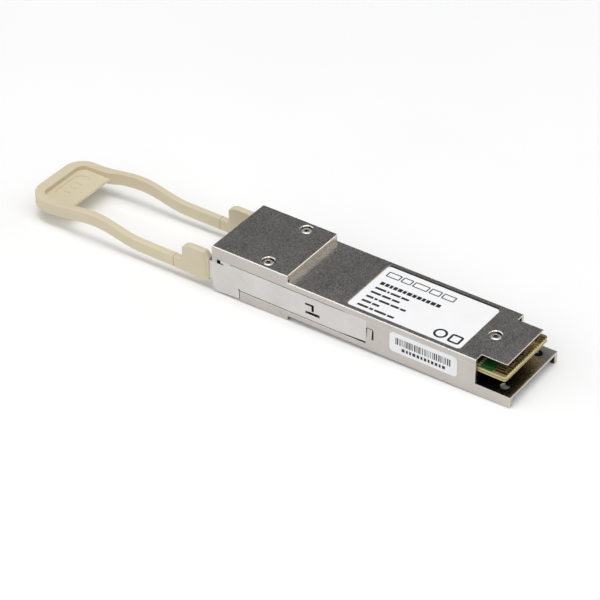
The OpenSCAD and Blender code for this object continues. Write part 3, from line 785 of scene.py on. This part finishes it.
def pull_tab(material):
    low, high = low_high("pull_tab")
    tab_x0 = low.x
    span = (tab_x0 + PAD_START, tab_x0 + PAD_END)
    oval = solid("oval", lambda bm: stadium(bm, span, PAD_HALF, (WEB_TOP - PAD_DEPTH, 4.0)))
    web = solid("web", lambda bm: tab_web(bm, tab_x0))
    parts = [solid("ear", lambda bm, side=side: tab_ear(bm, side, high.x, high.z)) for side in (1, -1)]
    parts.append(keep("plate", unite(web, [oval], "DIFFERENCE")))
    parts += [solid("grip", lambda bm, y=y: grip(bm, tab_x0, y)) for y in GRIP_ROWS]
    bm = unite(solid("loop", lambda bm: tab_loop(bm, tab_x0)), parts)
    piece = make_piece("pull_tab_moulding", bm, material, RELEASE)
    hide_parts("pull_tab")


# ------------------------------------------------------------------ small solids


def prism(bm, outline, low, high):
    """An outline in X and Y given height along Z."""
    join_rings(bm, [[bm.verts.new(mm(x, y, z)) for x, y in outline] for z in (low, high)])


def brick(bm, x, y, z, soft=0.03, paint=0):
    """A block whose edges are all rounded over by soft."""
    low, size = (x[0], y[0], z[0]), (x[1] - x[0], y[1] - y[0], z[1] - z[0])
    verts = bmesh.ops.create_cube(bm, size=1.0)["verts"]
    for vert in verts:
        vert.co = mm(*(low[k] + size[k] * (vert.co[k] + 0.5) for k in range(3)))
    edges = list({e for v in verts for e in v.link_edges})
    faces = {f for v in verts for f in v.link_faces}
    made = bmesh.ops.bevel(
        bm, geom=edges, offset=mm(soft), offset_type="OFFSET", segments=2, profile=0.5, affect="EDGES")
    for face in faces | set(made["faces"]):
        if face.is_valid:
            face.material_index = paint


def turned(bm, centre, profile, count=48):
    """A solid of rings round an upright axis; a row is a radius, or a function of the angle, and a height."""
    rings = []
    for radius, z in profile:
        ring = []
        for i in range(count):
            a = 2 * math.pi * i / count
            r = radius(a) if callable(radius) else radius
            ring.append(bm.verts.new(mm(centre[0] + r * math.cos(a), centre[1] + r * math.sin(a), z)))
        rings.append(ring)
    join_rings(bm, rings)


# ------------------------------------------------------------------ screws and springs


SCREW_NODES = ("nose_screws", "rear_screw")
HEAD_RADIUS, HEAD_HEIGHT = 1.15, 0.6
THREAD_CREST, THREAD_ROOT, THREAD_PITCH = 0.7, 0.62, 0.25
RECESS_EDGE = 0.53
COUNTERBORE_LIMITS = (1.3, 1.5)


def screw_axes(node):
    """Where a node's screws stand: a mirrored pair, or one on the middle line."""
    low, high = low_high(node)
    side = round(high.y - (high.x - low.x) / 2, 4)
    return [((low.x + high.x) / 2, y) for y in sorted({side, -side})]


def screw(bm, centre, tip, top):
    """A machine screw for a counterbore: threaded shank, domed head and six-lobe recess."""
    head_low = top - HEAD_HEIGHT
    profile = [(0.5, tip), (THREAD_ROOT, tip + 0.1)]
    z = tip + 0.1
    while z < head_low - 0.5:
        profile += [(THREAD_CREST, z + 0.08), (THREAD_ROOT, z + 0.2)]
        z += THREAD_PITCH

    def lobes(base):
        return lambda a: base + 0.07 * math.cos(6 * a)

    profile += [
        (0.66, head_low), (1.09, head_low), (HEAD_RADIUS, head_low + 0.07), (HEAD_RADIUS, top - 0.3),
        (1.11, top - 0.19), (1.0, top - 0.08), (0.86, top - 0.02), (0.72, top), (0.62, top),
        (lobes(0.52), top - 0.02), (lobes(0.47), top - 0.08), (lobes(0.44), top - 0.38), (0.12, top - 0.44)]
    turned(bm, centre, profile)
    # Painted shade: faces of the six-lobe recess take the second, darker material
    for face in bm.faces:
        place = face.calc_center_median() * 1000
        if place.z > head_low and math.hypot(place.x - centre[0], place.y - centre[1]) < RECESS_EDGE:
            face.material_index = 1


def screws(steel, screw_recess_painted_shade):
    for node, name in zip(SCREW_NODES, ("nose_screw_pair", "rear_screw_turned")):
        low, high = low_high(node)
        bm = bmesh.new()
        for centre in screw_axes(node):
            screw(bm, centre, low.z, high.z)
        piece = make_piece(name, bm, [steel, screw_recess_painted_shade], SHELL)
        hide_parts(node)


WIRE = 0.22
CLOSED_SHARE = 0.08


def coil(bm, start, end, y, z, radius, wire, turns=9, per_turn=22, sides=8):
    """A compression spring along X whose end turns lie close together."""
    rings = []
    count = turns * per_turn
    for i in range(count + 1):
        t = i / count
        rise = clamp((t - CLOSED_SHARE) / (1 - 2 * CLOSED_SHARE))
        x = start + wire * 0.6 + (end - start - 1.2 * wire) * (0.5 * ease(rise) + 0.5 * rise)
        a = 2 * math.pi * turns * t
        out = Vector((0, math.cos(a), math.sin(a)))
        centre = Vector((x, y, z)) + out * radius
        ring = []
        for k in range(sides):
            b = 2 * math.pi * k / sides
            offset = out * (wire / 2 * math.cos(b)) + Vector((wire / 2 * math.sin(b), 0, 0))
            ring.append(bm.verts.new(mm(*(centre + offset))))
        rings.append(ring)
    join_rings(bm, rings)


def springs(steel):
    low, high = low_high("return_springs")
    outside = (high.z - low.z) / 2
    bm = bmesh.new()
    for side in (-1, 1):
        coil(bm, low.x, high.x, side * (high.y - outside), (low.z + high.z) / 2, outside - WIRE / 2, WIRE)
    piece = make_piece("return_spring_coils", bm, steel, SHELL)
    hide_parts("return_springs")
    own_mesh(piece)


# ------------------------------------------------------------------ circuit board


FINGERS, FINGER_PITCH = 19, 0.8
MASK_THICKNESS, MASK_INSET = 0.03, 0.12
# The board is narrower in front of this X, and the boss of the rear screw stands on it
BOARD_STEP, BOARD_FRONT_HALF = 24.25, 6.2
BOSS_PLACE, BOSS_RADIUS = (44.3, 0), 1.7
TRACE_START, TRACE_HALF, COPPER = 45.75, 0.08, 0.02


def finger_rows():
    """Middle of each contact finger across the board."""
    return [(i - FINGERS // 2) * FINGER_PITCH for i in range(FINGERS)]


def solder_mask(name, material, z, low, high, end):
    """One side's lacquer, open round the boss of the rear screw."""
    step = BOARD_STEP + MASK_INSET
    start = low.x + MASK_INSET
    front = BOARD_FRONT_HALF - MASK_INSET
    back = high.y - MASK_INSET
    outline = [(start, -front), (step, -front), (step, -back), (end, -back),
               (end, back), (step, back), (step, front), (start, front)]
    plate = solid("mask", lambda bm: prism(bm, outline, *z))
    rim = [(BOSS_RADIUS, z[0] - 0.1), (BOSS_RADIUS, z[1] + 0.1)]
    hole = solid("hole", lambda bm: turned(bm, BOSS_PLACE, rim))
    make_piece(name, unite(plate, [hole], "DIFFERENCE"), material, SHELL)


def traces(low, high, end):
    """Copper lines under the lacquer, one to each finger."""
    bm = bmesh.new()
    top, bottom = high.z + MASK_THICKNESS, low.z - MASK_THICKNESS
    for y in finger_rows():
        for z in ((top, top + COPPER), (bottom - COPPER, bottom)):
            brick(bm, (TRACE_START, end), (y - TRACE_HALF, y + TRACE_HALF), z, 0.006)
    copper = mask_material("masked_copper", (0.010, 0.10, 0.02), (0.016, 0.15, 0.03))
    make_piece("masked_traces", bm, copper, SHELL)


def plating_stubs(gold, low, high, pads_end):
    """The cut leads that run from the fingers over the bevelled end of the board."""
    bm = bmesh.new()
    path = ((pads_end - 0.02, 0), (pads_end + 0.02, 0), (pads_end + 0.17, 0.14))
    corners = ((-1, 0), (1, 0), (1, COPPER), (-1, COPPER))
    for y in finger_rows():
        for side, face in ((-1, low.z), (1, high.z)):
            rings = []
            for x, drop in path:
                rings.append([bm.verts.new(mm(x, y + across * 0.06, face - side * (drop - lift)))
                              for across, lift in corners])
            join_rings(bm, rings)
    make_piece("plating_stubs", bm, gold, SHELL)


def circuit_board(gold):
    low, high = low_high("circuit_board")
    pads_low, pads_high = low_high("contact_pads_top")
    softened("circuit_board", "board_core", laminate_material(mm(high.z)), SHELL, 0.03)
    # Painted shade: the underside's lacquer is a much darker copy of the top's, for the dark under the board
    underside_painted_shade_mask = mask_material("underside_mask", (0.001, 0.012, 0.003), (0.002, 0.02, 0.005))
    for name, material, z in (("solder_mask_top", mask_material(), (high.z, high.z + MASK_THICKNESS)),
                              ("solder_mask_bottom", underside_painted_shade_mask, (low.z - MASK_THICKNESS, low.z))):
        solder_mask(name, material, z, low, high, pads_low.x - 0.12)
    traces(low, high, pads_low.x - 0.14)
    plating_stubs(gold, low, high, pads_high.x)


CAPACITORS, CAPACITOR_PITCH, CAPACITOR_FIRST = 8, 0.74, 2.6


def coupling_capacitors(ceramic, tin):
    low, high = low_high("coupling_capacitors")
    bm = bmesh.new()
    for i in range(CAPACITORS):
        for side in (-1, 1):
            y = side * (CAPACITOR_FIRST + CAPACITOR_PITCH * i)
            body = (low.x + 0.1, high.x - 0.1), (y - 0.15, y + 0.15), (low.z + 0.01, high.z - 0.01)
            brick(bm, *body, 0.015)
            for x in ((low.x, low.x + 0.14), (high.x - 0.14, high.x)):
                brick(bm, x, (y - 0.16, y + 0.16), (low.z, high.z), 0.03, 1)
    piece = make_piece("capacitor_row", bm, [ceramic, tin], SHELL)
    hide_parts("coupling_capacitors")


# ------------------------------------------------------------------ label print


# Widths of the open boxes of the top row, with the gap included
BOX_ROW_START, BOX_ROW_Y, BOX_GAP = 15.0, (4.55, 6.35), 0.4
BOX_WIDTHS = (3.6, 2.8, 4.0, 3.0, 3.4)
# Rows of plain bars: lower edge, height, gap, and widths with the gap included
BAR_ROW_START = 15.55
BAR_ROWS = (
    (1.45, 1.05, 0.24, (1.2, 1.1, 0.9, 1.1, 1.2, 1.0, 1.3, 1.1, 1.2, 1.0, 1.1, 1.3, 1.2)),
    (-0.25, 0.62, 0.3, (2.9, 0.8, 2.6, 2.1)),
    (-1.9, 0.62, 0.3, (2.7, 2.4, 2.1)),
    (-3.6, 0.62, 0.3, (2.0, 1.0, 2.9, 2.3, 1.6)),
    (-5.25, 0.62, 0.3, (2.5, 2.0)),
    (-6.9, 0.62, 0.3, (2.9, 1.2, 3.1, 1.9)),
)


def frame_outline(bm, x, y, z, stroke, radius, steps=8):
    """A rounded rectangle drawn as a flat line, with its middle left open."""
    def ring(inset, height):
        r = max(0.02, radius - inset)
        left, right = x[0] + inset + r, x[1] - inset - r
        front, back = y[0] + inset + r, y[1] - inset - r
        points = []
        for cx, cy, a in ((right, back, 0), (left, back, 90), (left, front, 180), (right, front, 270)):
            points += arc((cx, cy), r, a, a + 90, steps)
        return [bm.verts.new(mm(px, py, height)) for px, py in points]

    rings = [ring(0, z[0]), ring(0, z[1]), ring(stroke, z[1]), ring(stroke, z[0])]
    join_rings(bm, rings + [rings[0]], cap=False)


def top_print(ink):
    """Plain bars and outlines where a label has its lines of print."""
    top = low_high("top_label")[1].z
    z = (top - 0.005, top + 0.015)
    bm = bmesh.new()
    x = BOX_ROW_START
    for width in BOX_WIDTHS:
        frame_outline(bm, (x, x + width - BOX_GAP), BOX_ROW_Y, z, 0.26, 0.3)
        x += width
    for row_y, height, gap, words in BAR_ROWS:
        x = BAR_ROW_START
        for width in words:
            brick(bm, (x, x + width - gap), (row_y, row_y + height), z, 0.008)
            x += width
    frame_outline(bm, (33.3, 36.3), (-7.0, -4.0), z, 0.5, 1.5, 12)
    frame_outline(bm, (36.9, 39.7), (-6.9, -4.1), z, 0.5, 0.6)
    make_piece("top_label_print", bm, ink, SHELL)


def side_print(ink):
    """Upright stripes over a row of small blocks."""
    face = low_high("side_label")[0].y
    y = (face - 0.012, face + 0.005)
    bm = bmesh.new()
    draw = random.Random(7)
    x, end = 26.6, 39.7
    while x < end:
        width = draw.choice((0.13, 0.13, 0.2, 0.3))
        brick(bm, (x, x + width), y, (4.4, 6.05), 0.005)
        x += width + draw.choice((0.14, 0.2, 0.3))
    x, end = 28.1, 38.1
    while x < end:
        width = draw.choice((0.45, 0.6, 0.7))
        brick(bm, (x, x + width), y, (3.1, 3.85), 0.005)
        x += width + 0.32
    make_piece("side_label_print", bm, ink, SHELL)


# ------------------------------------------------------------------ pieces


def dress(node, material):
    """Gives a CAD node that stays as it is its own material."""
    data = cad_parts[node].data
    data.materials.clear()
    data.materials.append(material)


def cast_shells():
    side = low_high("bottom_housing")[1].y
    nose_top = low_high("top_housing")[1].z
    places = [place for node in SCREW_NODES for place in screw_axes(node)]
    shell = shell_material(mm(side))

    def on_counterbore(x, y, z):
        near = min(math.hypot(x - px, y - py) for px, py in places)
        least, most = COUNTERBORE_LIMITS
        return least < near < most and (z > nose_top - TOUCH or abs(z - BODY_TOP) < TOUCH)

    def on_long_edge(x, y, z):
        return z > nose_top - TOUCH or (z > BODY_TOP - TOUCH and abs(y) > side - TOUCH)

    def ledge_end(x, y, z):
        """Draws the ends of the ledge at the foot of the nose in, clear of the rounded long edges."""
        at_end = abs(x) < 0.3 and z > BODY_TOP - TOUCH and abs(abs(y) - (side - LEDGE_INSET)) < TOUCH
        return (x, y - math.copysign(LEDGE_SHIFT, y), z) if at_end else (x, y, z)

    softened("bottom_housing", "lower_shell", shell, SHELL, 0.1)
    softened("top_housing", "upper_shell", shell, SHELL, 0.1, wide=0.22,
             is_wide=on_long_edge, on_rim=on_counterbore, moved=ledge_end)


def release_bracket():
    side = low_high("bottom_housing")[1].y
    sheet_low = low_high("pull_slider")[0].z
    softened("pull_slider", "release_bracket", bracket_material(), RELEASE, 0.06,
             wide=0.42, is_wide=lambda x, y, z: z < sheet_low + TOUCH and abs(y) > side - TOUCH)


def build():
    steel = metal_material("screw_steel", (0.86, 0.84, 0.80), (0.74, 0.72, 0.68), rough=(0.38, 0.52))
    # Painted shade: a dark brown copy of the screw steel for the inside of the recess
    screw_recess_painted_shade = metal_material("recess_steel_painted_shade", (0.26, 0.22, 0.15), (0.16, 0.13, 0.08), rough=(0.3, 0.4))
    wire = metal_material("spring_wire", (0.66, 0.66, 0.66), (0.52, 0.52, 0.53), rough=(0.2, 0.3))
    tin = metal_material("tinned_end", (0.80, 0.79, 0.76), (0.64, 0.63, 0.60), rough=(0.25, 0.4))
    gold = metal_material("contact_gold", (0.78, 0.54, 0.22), (0.62, 0.42, 0.15), rough=(0.12, 0.24))
    copper = metal_material("submount_metal", (0.80, 0.48, 0.30), (0.70, 0.40, 0.24), rough=(0.25, 0.4))
    black = plastic_material("port_plastic", (0.03, 0.03, 0.032), (0.02, 0.02, 0.022))
    ferrule = plastic_material("ferrule_plastic", (0.06, 0.052, 0.045), (0.035, 0.03, 0.026), 0.15)
    rubber = plastic_material(
        "boot_rubber", (0.02, 0.02, 0.021), (0.012, 0.012, 0.013), 0.3, 0.02, (0.6, 0.8))
    foam = plastic_material(
        "gasket_foam", (0.12, 0.12, 0.13), (0.05, 0.05, 0.055), 0.2, 0.06, (0.8, 0.95))
    jacket = plastic_material(
        "ribbon_jacket", (0.05, 0.45, 0.45), (0.03, 0.36, 0.37), 0.3, 0.004, (0.2, 0.3))
    lens = plastic_material("lens_plastic", (0.62, 0.35, 0.07), (0.50, 0.26, 0.05), 0.4, 0.002, (0.06, 0.12))
    pad = plastic_material("pad_silicone", (0.42, 0.52, 0.62), (0.34, 0.43, 0.54), 0.2, 0.03, (0.7, 0.85))
    chip = plastic_material(
        "chip_package", (0.025, 0.025, 0.027), (0.015, 0.015, 0.016), 0.1, 0.01, (0.5, 0.65))
    die = plastic_material("chip_die", (0.06, 0.055, 0.08), (0.03, 0.03, 0.045), 0.2, 0.001, (0.05, 0.1))
    ferrite = plastic_material(
        "inductor_body", (0.09, 0.085, 0.08), (0.05, 0.048, 0.045), 0.12, 0.02, (0.6, 0.8))
    ceramic = plastic_material(
        "capacitor_ceramic", (0.50, 0.34, 0.20), (0.40, 0.26, 0.15), 0.1, 0.006, (0.4, 0.55))
    paper = plastic_material(
        "label_paper", (0.90, 0.90, 0.91), (0.88, 0.88, 0.89), 0.2, 0.003, (0.5, 0.65), 4)
    cast_shells()
    release_bracket()
    pull_tab(tab_material())
    screws(steel, screw_recess_painted_shade)
    springs(wire)
    circuit_board(gold)
    coupling_capacitors(ceramic, tin)
    softened("optical_receptacle", "port_housing", black, SHELL, 0.12)
    softened("fibre_ferrule", "ferrule_body", ferrule, SHELL, 0.05)
    softened("controller_chip", "controller_package", chip, SHELL, 0.06)
    softened("power_inductors", "power_inductor_row", ferrite, SHELL, 0.08)
    softened("filter_capacitors", "filter_capacitor_bank", ceramic, SHELL, 0.05, 0.5)
    softened("lens_block", "lens_moulding", lens, SHELL, 0.05)
    softened("ferrule_boot", "ferrule_strain_boot", rubber, SHELL, 0.12)
    ink = ink_material()
    top_print(ink)
    side_print(ink)
    for nodes, material in (
            (("alignment_pins", "pin_keeper"), steel), (("ferrule_holder",), black),
            (("contact_pads_top", "contact_pads_bottom"), gold), (("optics_submount",), copper),
            (("receptacle_gasket", "shell_gaskets"), foam), (("fibre_ribbon",), jacket),
            (("laser_array", "photodiode_array", "laser_driver", "receiver_amplifier"), die),
            (("thermal_pad",), pad), (("resistors",), chip), (("top_label", "side_label"), paper)):
        for node in nodes:
            dress(node, material)


add_camera()
add_studio()
build()
